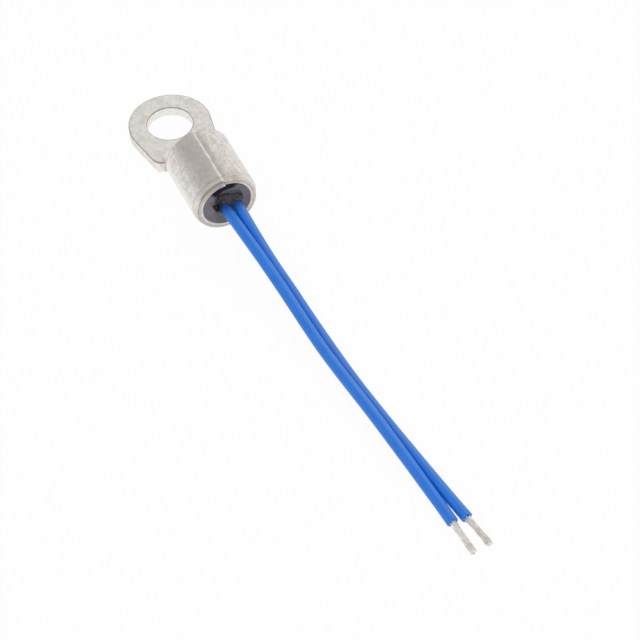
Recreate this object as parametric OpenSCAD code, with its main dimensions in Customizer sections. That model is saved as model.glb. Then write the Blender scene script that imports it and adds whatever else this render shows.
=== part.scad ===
/* [Tongue] */
// Diameter of the stud hole
stud_hole_d = 4.4; // [3.2:0.1:5.2]
// Outside diameter of the ring round the stud hole
ring_d = 7.9; // [7.4:0.1:9]
// Thickness of the copper strip that the whole lug is stamped from
stock_t = 1.05; // [0.8:0.05:1.1]
// Width of the tongue where its shoulders turn in
shoulder_w = 6.76; // [6:0.1:7.2]
// Distance from the stud hole to the end of the shoulders
shoulder_x = 4.75; // [4.4:0.05:5]
// Radius of the shoulders
shoulder_r = 1.35; // [0.8:0.05:1.6]
// Width of the neck between the two notches
neck_w = 5; // [4.2:0.1:5.4]

/* [Barrel] */
// Distance from the stud hole to the back edge of the barrel
barrel_x = 7.15; // [6.9:0.05:8]
// Length of the barrel
barrel_l = 7.05; // [6.5:0.05:9]
// Outside diameter of the rolled barrel
barrel_d = 6.3; // [6.1:0.1:7]
// Radius in the blank where the neck sweeps out into a wing of the barrel
wing_r = 2.2; // [1.5:0.1:2.3]
// Distance from the stud hole to where the strip starts to curl up
curl_x = 4.4; // [4.3:0.05:4.8]
// Length in which the curl tightens to the barrel's own radius
curl_l = 2.1; // [1.6:0.1:2.4]
// Gap between the two butted edges of the seam
seam_gap = 0.05; // [0.03:0.01:0.1]
// Width of the groove that the rounded edges leave along the seam
seam_groove_w = 0.5; // [0.2:0.02:0.6]
// Depth of the groove along the seam
seam_groove_h = 0.16; // [0.1:0.02:0.4]
// Turn of the seam away from the top of the barrel, in degrees
seam_turn = 0.5; // [-8:0.5:8]
// Length of the bevel outside the mouth
mouth_bevel_l = 0.6; // [0.2:0.05:1]
// Depth of the bevel outside the mouth
mouth_bevel_h = 0.25; // [0.1:0.05:0.35]
// Length of the funnel inside the mouth
funnel_l = 0.5; // [0.2:0.05:0.8]
// Depth of the funnel inside the mouth
funnel_h = 0.3; // [0.1:0.05:0.35]

/* [Potting] */
// Depth of the hollow in the resin at the mouth
mouth_dish = 0.4; // [0.2:0.05:0.8]
// Depth of the hollow in the resin at the back
back_dish = 0.5; // [0.2:0.05:0.8]
// How far the resin's edge stays inside the mouth
mouth_set = 0.08; // [0.04:0.02:0.2]
// How far the resin's edge stays inside the back edge
back_set = 0.15; // [0.05:0.05:0.4]

/* [Bead] */
// Coating beside lead a, on the bead's wide side
coat_a = 0.45; // [0.3:0.05:0.5]
// Coating beside lead b, on the bead's narrow side
coat_b = 0.4; // [0.2:0.05:0.45]
// Coating above the leads
coat_top = 1; // [0.6:0.05:1.1]
// Coating below the leads
coat_low = 0.14; // [0.1:0.02:0.3]
// Distance from the barrel's back edge to the nose of the bead
bead_back = 1.2; // [0.8:0.05:1.4]
// How far the bead's coating stands out of the mouth
bead_out = 0.4; // [0.2:0.05:0.6]
// Radius of the round face of the bead at the mouth
bead_face_r = 3.5; // [3.3:0.1:6]
// Side of the square thermistor chip
chip_s = 1.1; // [0.8:0.05:1.2]
// Thickness of the thermistor chip
chip_t = 0.5; // [0.4:0.02:0.56]
// Thickness of a silver electrode
electrode_t = 0.03; // [0.02:0.01:0.04]
// Distance from the bead's nose to the chip
chip_back = 0.75; // [0.65:0.05:1]
// Thickness of the solder round a conductor on the chip
solder_t = 0.1; // [0.06:0.01:0.14]

/* [Leads] */
// Diameter of a lead over its insulation
lead_d = 1.04; // [0.9:0.01:1.08]
// Diameter of the stranded conductor
conductor_d = 0.6; // [0.5:0.01:0.62]
// Clearance round a conductor in its insulation and round a lead in the coating
lead_gap = 0.01; // [0.005:0.005:0.02]
// Sideways offset of the pair of leads from the barrel's axis
pair_y = 0.26; // [0.2:0.02:0.3]
// Depth of the pair of leads below the barrel's axis
pair_low = 0.09; // [0:0.03:0.15]
// Length of insulation that the coating holds
lead_hold = 2.8; // [2:0.1:3]
// Bare length of the conductor of lead a
bare_a = 3.6; // [2:0.1:8]
// Bare length of the conductor of lead b
bare_b = 3.4; // [2:0.1:8]
// Length in which a strand goes once round its conductor
strand_lay = 7; // [4:0.5:12]

/* [Hidden] */

// How far a cutting shape runs past what it cuts
past = 0.5;
// How deep one piece of the strip runs into the next, and how far it stays under its skin
bury = 0.3;
skin = 0.015;
round_fn = 96;
// Sides of a lead's tube, and how much its strands have grown together
tube_sides = 8;
fused = 1.06;

barrel_r = barrel_d / 2;
bore_r = barrel_r - stock_t;
roll_r = barrel_r - stock_t / 2;
mouth_x = barrel_x + barrel_l;
rim_r = bore_r + funnel_h;

lead_pitch = chip_t + 2 * electrode_t + conductor_d + 2 * lead_gap;
pair_h = barrel_r - pair_low;
chip_x = barrel_x + bead_back + chip_back;
collar_x = mouth_x + bead_out;
hold_x = collar_x - lead_hold;

// Centre lines of the two leads, from the face of the coating to the end of the insulation.
// Lead b sinks to the surface that the lug lies on; lead a leans on it and comes down at its end.
free_a = [[15.6, -0.26, 3.05], [17, -0.17, 3.07], [18.5, -0.06, 3.02], [20.5, 0.13, 2.85],
          [22.5, 0.35, 2.54], [25, 0.62, 2.08], [27.5, 0.84, 1.67], [30, 1.03, 1.33],
          [32.5, 1.2, 1.16], [35, 1.39, 1.16], [37.5, 1.61, 1.2], [40, 1.86, 1.2],
          [42.5, 2.1, 1.16], [45, 2.33, 1.06], [47.5, 2.58, 0.9], [50, 2.83, 0.7],
          [52.2, 3.04, 0.56], [54.35, 3.17, 0.53]];
free_b = [[15.6, 0.85, 2.99], [17, 0.87, 2.84], [18.5, 0.92, 2.62], [20.5, 1.03, 2.29],
          [22.5, 1.21, 1.9], [25, 1.49, 1.44], [27.5, 1.71, 1.02], [30, 1.92, 0.7],
          [32.5, 2.09, 0.56], [35, 2.24, 0.53], [37.5, 2.43, 0.53], [40, 2.68, 0.53],
          [42.5, 2.95, 0.53], [45, 3.25, 0.53], [47.5, 3.56, 0.53], [50, 3.88, 0.53],
          [52.2, 4.17, 0.53], [54.45, 4.49, 0.53]];

function lead_y(side) = pair_y + side * lead_pitch / 2;
function free_route(side) = side < 0 ? free_a : free_b;
function lead_route(side) = concat(
    [for (x = [hold_x, collar_x]) [x, lead_y(side), pair_h]], free_route(side));
// The conductor starts over the chip and ends just past the cut end of the insulation
function core_route(side) = concat(
    [[chip_x + chip_s / 8, lead_y(side), pair_h]], lead_route(side), [lead_end(side) + bury * heading(side)]);
function lead_end(side) = free_route(side)[len(free_route(side)) - 1];
function heading(side) = unit(lead_end(side) - free_route(side)[len(free_route(side)) - 2]);

function unit(v) = v / norm(v);
function smooth(u) = let (c = min(1, max(0, u))) c * c * (3 - 2 * c);

// Outline of the flat tongue: the ring, two sides that close in and the two shoulders.
// Each side is the line that touches both the ring and a shoulder.
module tongue_outline() {
    ring_r = ring_d / 2;
    c = [shoulder_x - shoulder_r, shoulder_w / 2 - shoulder_r];
    a = atan2(c[1], c[0]) + acos((ring_r - shoulder_r) / norm(c));
    n = [cos(a), sin(a)];
    half = [ring_r * n, c + shoulder_r * n, c, c + [shoulder_r, 0]];
    polygon(concat([[0, 0]], half, [for (i = [3:-1:0]) [half[i][0], -half[i][1]]]));
    circle(r = ring_r, $fn = round_fn);
    for (side = [-1, 1])
        translate([c[0], side * c[1]]) circle(r = shoulder_r, $fn = round_fn);
}

// Where the curling strip is cut across: straight along the neck, then round the wing's fillet
function strip_cuts() = concat(
    [[shoulder_x - past, neck_w / 2], [barrel_x - wing_r, neck_w / 2]],
    [for (a = [15:15:90]) [barrel_x - wing_r * (1 - sin(a)), neck_w / 2 + wing_r * (1 - cos(a))]],
    [[barrel_x + bury, neck_w / 2 + wing_r]]);
function curl(x) = max(0.0001, smooth((x - curl_x) / curl_l)) / roll_r;
// A point of the strip at x, at a distance s across the blank and h above its middle layer
function strip_point(x, s, h) = let (k = curl(x), a = s * k * 180 / PI)
    [x, (1 / k - h) * sin(a), stock_t / 2 + 1 / k - (1 / k - h) * cos(a)];

// The formed part of the strip between the flat tongue and the rolled barrel
module curled_neck(columns = 28) {
    cuts = strip_cuts();
    n = columns + 1;
    ring = 2 * n;
    h = stock_t / 2 - skin;
    points = [for (c = cuts) each concat(
        [for (i = [0:columns]) strip_point(c[0], c[1] * (2 * i / columns - 1), -h)],
        [for (i = [columns:-1:0]) strip_point(c[0], c[1] * (2 * i / columns - 1), h)])];
    last = (len(cuts) - 1) * ring;
    sides = [for (c = [0:len(cuts) - 2], i = [0:ring - 1])
        let (a = c * ring + i, b = c * ring + (i + 1) % ring)
        each [[a, b + ring, b], [a, a + ring, b + ring]]];
    front = [for (i = [0:columns - 1])
        each [[i, i + 1, ring - 1 - i], [i + 1, ring - 2 - i, ring - 1 - i]]];
    back = [for (f = front) [last + f[0], last + f[2], last + f[1]]];
    polyhedron(points, concat(sides, front, back));
}

// Turns a profile drawn as radius and distance along the barrel round the barrel's axis
module about_barrel() {
    translate([0, 0, barrel_r])
        rotate([0, 90, 0])
            rotate_extrude($fn = round_fn) children();
}

module rolled_barrel() {
    difference() {
        about_barrel()
            polygon([[bore_r, barrel_x], [barrel_r, barrel_x],
                     [barrel_r, mouth_x - mouth_bevel_l],
                     [barrel_r - mouth_bevel_h, mouth_x], [rim_r, mouth_x],
                     [bore_r, mouth_x - funnel_l]]);
        // The butted seam: a fine gap with a groove between its two rounded edges
        translate([barrel_x - past, 0, barrel_r])
            rotate([seam_turn, 0, 0])
                rotate([90, 0, 90])
                    linear_extrude(barrel_l + 2 * past)
                        polygon([[-seam_gap / 2, bore_r / 2], [seam_gap / 2, bore_r / 2],
                                 [seam_gap / 2, barrel_r - seam_groove_h],
                                 [seam_groove_w / 2, barrel_r + skin],
                                 [-seam_groove_w / 2, barrel_r + skin],
                                 [-seam_gap / 2, barrel_r - seam_groove_h]]);
    }
}

module ring_lug() {
    color("gainsboro")
        difference() {
            union() {
                linear_extrude(stock_t) tongue_outline();
                curled_neck();
                rolled_barrel();
            }
            translate([0, 0, -past])
                cylinder(d = stud_hole_d, h = stock_t + 2 * past, $fn = round_fn);
        }
}

// The coated bead is an oval bar round the two leads, with a round nose and a domed face
module bead_shape() {
    left = lead_y(-1) - lead_d / 2 - coat_a;
    right = lead_y(1) + lead_d / 2 + coat_b;
    low = pair_h - lead_d / 2 - coat_low;
    top = pair_h + lead_d / 2 + coat_top;
    end_r = (top - low) / 2;
    nose_r = (right - left) / 2 + skin;
    back_x = barrel_x + bead_back;
    intersection() {
        translate([back_x, 0, 0])
            rotate([90, 0, 90])
                linear_extrude(collar_x - back_x) {
                    translate([left + end_r, low]) square([right - left - 2 * end_r, 2 * end_r]);
                    for (y = [left + end_r, right - end_r])
                        translate([y, low + end_r]) circle(r = end_r, $fn = round_fn);
                }
        translate([back_x + nose_r, (left + right) / 2, low + end_r]) {
            sphere(r = nose_r, $fn = round_fn);
            rotate([0, 90, 0]) cylinder(r = nose_r, h = barrel_l + bead_out, $fn = round_fn);
        }
        translate([collar_x - bead_face_r, (left + right) / 2, low + end_r])
            sphere(r = bead_face_r, $fn = round_fn);
    }
}

// Ball whose cap hollows out a face of radius r by a depth of dish
function ball_r(r, dish) = (r * r + dish * dish) / (2 * dish);

// The resin fills the barrel between two hollow faces
module potting() {
    front_r = rim_r - funnel_h * mouth_set / funnel_l;
    front_ball = ball_r(front_r, mouth_dish);
    back_ball = ball_r(bore_r, back_dish);
    color("dimgray")
        difference() {
            about_barrel()
                polygon([[0, barrel_x], [bore_r, barrel_x],
                         [bore_r, mouth_x - funnel_l], [rim_r, mouth_x], [0, mouth_x]]);
            translate([mouth_x - mouth_set - mouth_dish + front_ball, 0, barrel_r])
                sphere(r = front_ball, $fn = round_fn);
            translate([barrel_x + back_set + back_dish - back_ball, 0, barrel_r])
                sphere(r = back_ball, $fn = round_fn);
            bead_shape();
        }
}

module along_lead(side, x, r, l) {
    translate([x, lead_y(side), pair_h])
        rotate([0, 90, 0]) cylinder(r = r, h = l, $fn = round_fn);
}

// A slab of the chip's height and length, so far from the chip's middle
module chip_slab(thickness, y) {
    translate([chip_x, pair_y + y - thickness / 2, pair_h - chip_s / 2])
        cube([chip_s, thickness, chip_s]);
}

// Solder wraps a conductor, thins out at both ends and lies flat on its electrode
module solder_shape(side) {
    r = conductor_d / 2 + solder_t;
    thin = conductor_d / 3;
    face = side * (chip_t / 2 + electrode_t);
    difference() {
        translate([chip_x, lead_y(side), pair_h])
            rotate([0, 90, 0])
                rotate_extrude($fn = round_fn)
                    polygon([[0, 0], [thin, 0], [r, r - thin], [r, chip_s - r + thin],
                             [thin, chip_s], [0, chip_s]]);
        translate([chip_x - chip_s, pair_y + face + (side > 0 ? -chip_s : 0), pair_h - chip_s])
            cube([3 * chip_s, chip_s, 2 * chip_s]);
    }
}

module core_bore(side) {
    along_lead(side, chip_x + chip_s / 8 - lead_gap, conductor_d / 2 + lead_gap, hold_x - chip_x);
}

module bead_coating() {
    color("black")
        difference() {
            bead_shape();
            chip_slab(chip_t + 2 * electrode_t, 0);
            for (side = [-1, 1]) {
                solder_shape(side);
                core_bore(side);
                along_lead(side, hold_x, lead_d / 2 + lead_gap, lead_hold + past);
            }
        }
}

module ntc_chip() {
    color("darkslategray") chip_slab(chip_t, 0);
}

module electrode(side) {
    color("silver") chip_slab(electrode_t, side * (chip_t + electrode_t) / 2);
}

module solder_joint(side) {
    color("lightgray")
        difference() {
            solder_shape(side);
            core_bore(side);
        }
}

// Rings of points round a route, one radius a point, that stay upright as the route turns
function aim(route, i) = unit(route[min(i + 1, len(route) - 1)] - route[max(i - 1, 0)]);
function route_ring(route, i, r) =
    let (t = aim(route, i), s = unit(cross([0, 0, 1], t)), u = cross(t, s))
    [for (k = [0:tube_sides - 1])
        let (a = 360 * (k + 0.5) / tube_sides) route[i] + r * (cos(a) * s + sin(a) * u)];
// Faces of a band of quads between ring i and ring i + 1 of a stack that starts at a point
function band(i, start) = [for (k = [0:tube_sides - 1])
    let (a = start + i * tube_sides + k, b = start + i * tube_sides + (k + 1) % tube_sides)
    each [[a, a + tube_sides, b], [b, a + tube_sides, b + tube_sides]]];
function flipped(faces) = [for (f = faces) [f[2], f[1], f[0]]];

// A hollow tube along a route
module swept_tube(route, r, bore) {
    n = len(route);
    inner = n * tube_sides;
    last = (n - 1) * tube_sides;
    points = concat([for (i = [0:n - 1]) each route_ring(route, i, r)],
                    [for (i = [0:n - 1]) each route_ring(route, i, bore)]);
    walls = [for (i = [0:n - 2]) each concat(band(i, 0), flipped(band(i, inner)))];
    ends = [for (k = [0:tube_sides - 1]) let (j = (k + 1) % tube_sides)
        each [[k, j, inner + k], [j, inner + j, inner + k],
              [last + j, last + k, inner + last + k], [last + j, inner + last + k, inner + last + j]]];
    polyhedron(points, concat(walls, ends));
}

// A solid rod along a route, with its last ring drawn in to a tip
module swept_rod(route, r, tip) {
    n = len(route);
    points = [for (i = [0:n - 1]) each route_ring(route, i, i == n - 1 ? tip : r)];
    walls = [for (i = [0:n - 2]) each band(i, 0)];
    polyhedron(points, concat(walls, [[for (k = [0:tube_sides - 1]) k],
        [for (k = [tube_sides - 1:-1:0]) (n - 1) * tube_sides + k]]));
}

// Six strands laid round a seventh, fused by their tin
module twisted_strands(l) {
    strand_d = conductor_d / 3;
    linear_extrude(l, twist = 360 * l / strand_lay, slices = ceil(l * 4)) {
        circle(r = strand_d, $fn = 12);
        for (a = [0:60:300])
            rotate(a) translate([strand_d, 0]) circle(d = strand_d * fused, $fn = 10);
    }
}

module conductor(side) {
    t = heading(side);
    s = unit(cross([0, 0, 1], t));
    u = cross(t, s);
    e = lead_end(side);
    color("silver") {
        swept_rod(core_route(side), conductor_d / 2, conductor_d / 6);
        multmatrix([[s[0], u[0], t[0], e[0]], [s[1], u[1], t[1], e[1]], [s[2], u[2], t[2], e[2]]])
            twisted_strands(side < 0 ? bare_a : bare_b);
    }
}

module lead_insulation(side) {
    color("royalblue")
        swept_tube(lead_route(side), lead_d / 2, conductor_d / 2 + lead_gap);
}

ring_lug();
potting();
bead_coating();
ntc_chip();
electrode(-1);  // electrode_a
electrode(1);  // electrode_b
solder_joint(-1);  // solder_joint_a
solder_joint(1);  // solder_joint_b
conductor(-1);  // conductor_a
conductor(1);  // conductor_b
lead_insulation(-1);  // lead_insulation_a
lead_insulation(1);  // lead_insulation_b
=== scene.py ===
import math
import random

import bmesh
import bpy
from bpy.props import FloatProperty, FloatVectorProperty, IntProperty, PointerProperty
from bpy.types import Operator, Panel, PropertyGroup
from mathutils import Matrix, Vector, noise


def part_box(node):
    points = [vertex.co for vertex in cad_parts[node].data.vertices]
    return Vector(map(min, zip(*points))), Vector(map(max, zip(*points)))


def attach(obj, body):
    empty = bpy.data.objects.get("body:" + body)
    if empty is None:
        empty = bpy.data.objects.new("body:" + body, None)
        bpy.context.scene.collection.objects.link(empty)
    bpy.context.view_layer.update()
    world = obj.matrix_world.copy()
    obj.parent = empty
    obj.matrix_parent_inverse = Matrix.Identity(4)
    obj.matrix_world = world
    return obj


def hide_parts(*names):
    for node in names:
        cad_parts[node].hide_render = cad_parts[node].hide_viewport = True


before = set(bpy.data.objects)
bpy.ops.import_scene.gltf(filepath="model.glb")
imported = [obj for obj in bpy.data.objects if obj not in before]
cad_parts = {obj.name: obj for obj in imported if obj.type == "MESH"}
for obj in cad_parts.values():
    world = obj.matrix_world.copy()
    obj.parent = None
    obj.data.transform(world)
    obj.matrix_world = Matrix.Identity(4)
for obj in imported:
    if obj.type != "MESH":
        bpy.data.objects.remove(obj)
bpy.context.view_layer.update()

bl_info = {
    "name": "Ring Lug Thermistor",
    "version": (1, 0, 0),
    "blender": (4, 5, 0),
    "location": "3D View > Sidebar > Thermistor",
    "description": "Builds a bead thermistor potted in a rolled ring lug, with two blue leads",
    "category": "Object",
}

MM = 0.001
# Vertices that are nearer to each other than this are one
SAME_PLACE = 0.002 * MM
LUG_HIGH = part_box("ring_lug")[1]
RESIN_LOW, RESIN_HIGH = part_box("potting")
BEAD_LOW, BEAD_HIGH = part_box("bead_coating")
JOINT_A_LOW, JOINT_A_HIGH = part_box("solder_joint_a")
JOINT_B_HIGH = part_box("solder_joint_b")[1]

# Centre lines of the two leads' free lengths, in millimetres
FREE_A = [(15.6, -0.26, 3.05), (17, -0.17, 3.07), (18.5, -0.06, 3.02), (20.5, 0.13, 2.85),
          (22.5, 0.35, 2.54), (25, 0.62, 2.08), (27.5, 0.84, 1.67), (30, 1.03, 1.33),
          (32.5, 1.2, 1.16), (35, 1.39, 1.16), (37.5, 1.61, 1.2), (40, 1.86, 1.2),
          (42.5, 2.1, 1.16), (45, 2.33, 1.06), (47.5, 2.58, 0.9), (50, 2.83, 0.7),
          (52.2, 3.04, 0.56), (54.35, 3.17, 0.53)]
FREE_B = [(15.6, 0.85, 2.99), (17, 0.87, 2.84), (18.5, 0.92, 2.62), (20.5, 1.03, 2.29),
          (22.5, 1.21, 1.9), (25, 1.49, 1.44), (27.5, 1.71, 1.02), (30, 1.92, 0.7),
          (32.5, 2.09, 0.56), (35, 2.24, 0.53), (37.5, 2.43, 0.53), (40, 2.68, 0.53),
          (42.5, 2.95, 0.53), (45, 3.25, 0.53), (47.5, 3.56, 0.53), (50, 3.88, 0.53),
          (52.2, 4.17, 0.53), (54.45, 4.49, 0.53)]
# The side of the leads that carries a painted highlight, as shares along Y and Z
PAINTED_HIGHLIGHT_SIDE = (0.39, 0.92)


def length(name, text, millimetres):
    """A size that a user can change, kept in metres."""
    return FloatProperty(name=name, description=text, default=millimetres * MM,
                         unit="LENGTH", subtype="DISTANCE", precision=5)


def tone(name, text, colour):
    """A colour that a user can change, as linear red, green and blue."""
    return FloatVectorProperty(name=name, description=text, default=colour, size=3,
                               min=0.0, max=1.0, subtype="COLOR")


def angle(name, text, degrees):
    return FloatProperty(name=name, description=text, default=math.radians(degrees),
                         unit="ROTATION", subtype="ANGLE")


class LugSizes(PropertyGroup):
    hole: length("Stud hole", "Diameter of the stud hole", 4.4)
    ring: length("Ring", "Outside diameter of the ring", 7.9)
    strip: length("Strip", "Thickness of the strip that the lug is stamped from", 1.05)
    shoulder_width: length("Shoulder width", "Width of the tongue at its shoulders", 6.76)
    shoulder_reach: length("Shoulder reach", "From the stud hole to the shoulders' end", 4.75)
    shoulder_round: length("Shoulder radius", "Radius of the shoulders", 1.35)
    notch_round: length("Notch radius", "Radius in the notch behind a shoulder", 0.12)
    neck_width: length("Neck width", "Width of the neck between the notches", 5.0)
    wing_round: length("Wing radius", "Radius where the neck sweeps out into a wing", 2.2)
    curl_start: length("Curl start", "From the stud hole to where the strip curls up", 4.4)
    curl_long: length("Curl length", "Length in which the curl tightens to the barrel's", 2.1)
    corner_share: FloatProperty(name="Lower corner", default=0.65, min=0.0, max=1.0,
                                description="How sharp the shoulders' lower corners are")
    barrel_start: length("Barrel start", "From the stud hole to the barrel's back edge", 7.15)
    barrel_width: FloatProperty(name="Barrel width", description="Outside diameter of the barrel",
                                default=LUG_HIGH.z, unit="LENGTH", subtype="DISTANCE")
    mouth: FloatProperty(name="Mouth", description="From the stud hole to the barrel's mouth",
                         default=LUG_HIGH.x, unit="LENGTH", subtype="DISTANCE")
    seam_gap: length("Seam gap", "Gap between the butted edges", 0.02)
    seam_flank: length("Seam flank", "Width of the slope down to the seam on each side", 0.25)
    seam_deep_a: length("Seam depth a", "Depth of the slope on the side of lead a", 0.16)
    seam_deep_b: length("Seam depth b", "Depth of the slope on the side of lead b", 0.09)
    seam_roll: length("Seam roll", "How far the wing on the side of lead b rolls off", 0.10)
    seam_turn: angle("Seam turn", "Turn of the seam away from the top", -0.5)
    mouth_jog: length("Mouth jog", "How far one wing stays behind the other at the mouth", 0.14)
    bevel_long: length("Bevel length", "Length of the bevel outside the mouth", 0.6)
    bevel_deep: length("Bevel depth", "Depth of the bevel outside the mouth", 0.25)
    funnel_long: length("Funnel length", "Length of the funnel inside the mouth", 0.5)
    funnel_deep: length("Funnel depth", "Depth of the funnel inside the mouth", 0.3)
    mouth_slant: length("Mouth slant", "How far the mouth's bottom stays behind its top", 0.15)
    edge_round: length("Edge rounding", "Rounding of the sheared edges", 0.09)


class MouthSizes(PropertyGroup):
    dish: length("Resin dish", "Depth of the hollow in the resin", 0.42)
    wall_slope: FloatProperty(name="Wall slope", default=0.14,
                              description="How much steeper the resin hangs near the top")
    bead_climb: length("Bead climb", "How far the resin rises against the bead", 0.09)
    bead_reach: length("Bead reach", "Reach of the resin's curve round the bead", 0.16)
    back_dish: length("Back dish", "Depth of the hollow in the resin at the back", 0.5)
    ripple: length("Ripple", "Height of the waves in the resin's face", 0.05)
    collar_fall: length("Collar fall", "How much lower the coating is beside lead b", 0.62)
    collar_lean: length("Collar lean", "How far the coating reaches out beside lead b", 0.16)
    collar_slant: length("Collar slant", "How far the coating stays back beside lead a", 0.34)
    creep: length("Creep", "How far the coating creeps along the leads", 0.14)
    rough: length("Roughness", "Height of the lumps in the bead's coating", 0.10)
    bubble: length("Bubble", "Largest radius of the bubbles beside the coating", 0.15)
    bubbles: IntProperty(name="Bubbles", description="Number of bubbles beside the coating",
                         default=16, min=0, max=60)


class LeadSizes(PropertyGroup):
    lead: length("Lead", "Diameter over the insulation", 1.04)
    conductor: length("Conductor", "Diameter over the strands", 0.6)
    held: length("Held length", "Insulation that the coating holds", 2.8)
    free_a: length("Free length a", "Insulated length of lead a from the coating", 40.06)
    free_b: length("Free length b", "Insulated length of lead b from the coating", 40.23)
    bare_a: length("Bare length a", "Bare conductor of lead a", 3.6)
    bare_b: length("Bare length b", "Bare conductor of lead b", 3.4)
    lay: length("Lay", "Length in which a strand goes once round", 7.0)
    tucked: length("Tucked length", "How far the strands reach into the insulation", 0.3)
    clearance: length("Clearance", "Gap between the strands and the insulation", 0.02)
    tin_reach: FloatProperty(name="Tin reach", default=2.62, min=0.0, max=3.0,
                             description="Reach of the tin between the strands, in strand radii")


class Finishes(PropertyGroup):
    tin: tone("Tin", "Matte tin of the lug", (0.915, 0.88, 0.842))
    tin_warm: tone("Warm tin", "Warmer patches in the tin", (0.86, 0.815, 0.765))
    # Painted light on the hole's wall and the low flank beside lead a
    tin_painted_light: tone("Pale tin", "Tin of the hole's wall and of the barrel's left flank",
                   (0.98, 0.97, 0.95))
    # Painted shade of the band beside the seam
    tin_seam_shade: tone("Rubbed tin", "Tin rubbed smooth by the rolling tool", (0.69, 0.653, 0.611))
    # Painted shade right of the seam beside lead b, also the tint of the rolling streaks
    tin_streak_and_shade: tone("Stained tin", "Tint of the tin right of the seam, towards the mouth",
                    (0.79, 0.735, 0.67))
    tin_cut: tone("Cut tin", "Tint of the sheared face of the mouth", (1.0, 0.95, 0.89))
    # Painted shade along the sheared edges' outer rims, the bevel's crease, the lip and the mouth's
    # groove
    tin_edge_shade: tone("Worn rim", "Dark rim of the sheared edges", (0.26, 0.235, 0.205))
    pit: tone("Pit", "Small dark pits in the tin", (0.30, 0.25, 0.21))
    resin: tone("Resin", "Potting resin", (0.106, 0.104, 0.112))
    # Painted shade: the black crescent under the barrel's top
    resin_crescent_shade: tone("Drawn resin", "Resin drawn down under the barrel's top",
                      (0.024, 0.022, 0.031))
    resin_dust: tone("Resin dust", "Dust in the resin's skin", (0.2, 0.19, 0.2))
    coating: tone("Coating", "Dip coating of the bead", (0.021, 0.0205, 0.0225))
    # Painted shade on the coating's upper side towards lead a
    coating_shade: tone("Dull coating", "Tint of the coating's upper side towards lead a",
                       (0.6, 0.59, 0.62))
    crumb: tone("Crumb", "Pale crumbs in the coating", (0.30, 0.25, 0.21))
    blue: tone("Blue", "Insulation of the leads", (0.015, 0.222, 0.830))
    blue_deep: tone("Deep blue", "Darker streaks in the insulation", (0.010, 0.150, 0.660))
    # Painted highlight on the upper side of the insulation
    blue_highlight: tone("Light blue", "Rubbed upper side of the insulation", (0.080, 0.300, 0.870))
    blue_stain: tone("Stained blue", "Insulation beside the coating", (0.008, 0.085, 0.42))
    blue_dust: tone("Dust on blue", "Dust on the insulation", (0.35, 0.42, 0.6))
    strand: tone("Strand", "Tinned strands", (0.91, 0.88, 0.84))
    strand_dull: tone("Dull strand", "Dull patches of the strands", (0.74, 0.68, 0.62))
    oxide: tone("Oxide", "Sintered oxide of the chip", (0.045, 0.043, 0.040))
    silver: tone("Silver", "Fired silver of the electrodes", (0.86, 0.85, 0.82))
    solder: tone("Solder", "Solder round the conductors", (0.62, 0.61, 0.59))


class StudioSizes(PropertyGroup):
    lens: FloatProperty(name="Lens", description="Focal length in millimetres", default=163.125)
    distance: length("Distance", "From the camera to the point that it aims at", 259.96)
    bearing: angle("Bearing", "Camera's bearing from the leads' direction", -22.3563)
    height: angle("Height", "Camera's angle above the floor", 48.1462)
    roll: angle("Roll", "Turn of the camera about its own line of sight", -2.8339)
    aim_x: length("Aim x", "Point on the floor that the camera aims at", 28.270)
    aim_y: length("Aim y", "Point on the floor that the camera aims at", 2.794)
    key: FloatProperty(name="Key light", description="Radiance of the key light", default=0.25)
    key_bearing: angle("Key bearing", "Key light's bearing from the leads' direction", 130)
    key_height: angle("Key height", "Key light's angle above the floor", 32)
    key_distance: length("Key distance", "From the key light to the aim", 450)
    key_side: length("Key side", "Side of the square key light", 600)
    fill: FloatProperty(name="Fill light", description="Radiance of the fill light", default=0.9)
    fill_bearing: angle("Fill bearing", "Fill light's bearing from the leads' direction", -32)
    fill_height: angle("Fill height", "Fill light's angle above the floor", 30)
    fill_distance: length("Fill distance", "From the fill light to the aim", 500)
    fill_side: length("Fill side", "Side of the square fill light", 450)
    room: FloatProperty(name="Room", description="Radiance of the grey room", default=0.66)
    floor: length("Floor", "Side of the square floor", 900.0)
    white: FloatProperty(name="White", default=0.955, min=0.0, max=1.0,
                         description="Share of plain white in the paper that the camera sees")


def smooth(value):
    share = min(1.0, max(0.0, value))
    return share * share * (3.0 - 2.0 * share)


# Node helpers

def put(tree, kind, links=None, **values):
    """Adds a node; keywords in capitals are sockets and the rest are the node's own settings."""
    node = tree.nodes.new(kind)
    for name, value in values.items():
        label = name.replace("_", " ")
        if name[0].isupper() and label in node.inputs:
            node.inputs[label].default_value = value
        else:
            setattr(node, name, value)
    for socket, source in (links or {}).items():
        tree.links.new(source, node.inputs[socket])
    return node


def ramp(tree, value, low, high):
    """A soft step from 0 at low to 1 at high."""
    node = put(tree, "ShaderNodeMapRange", {"Value": value}, interpolation_type="SMOOTHSTEP")
    node.inputs["From Min"].default_value = low
    node.inputs["From Max"].default_value = high
    return node.outputs["Result"]


def maths(tree, operation, first, second=0.0):
    node = put(tree, "ShaderNodeMath", operation=operation)
    for socket, value in zip(node.inputs, (first, second)):
        if isinstance(value, (int, float)):
            socket.default_value = value
        else:
            tree.links.new(value, socket)
    return node.outputs[0]


def plus(tree, first, second):
    return maths(tree, "ADD", first, second)


def minus(tree, first, second):
    return maths(tree, "SUBTRACT", first, second)


def times(tree, first, *others):
    """The product of sockets and numbers."""
    for other in others:
        first = maths(tree, "MULTIPLY", first, other)
    return first


def from_centre(tree, first, second):
    """The distance from a centre, from the distances along two axes."""
    squares = plus(tree, maths(tree, "POWER", first, 2.0), maths(tree, "POWER", second, 2.0))
    return maths(tree, "SQRT", squares)


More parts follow.
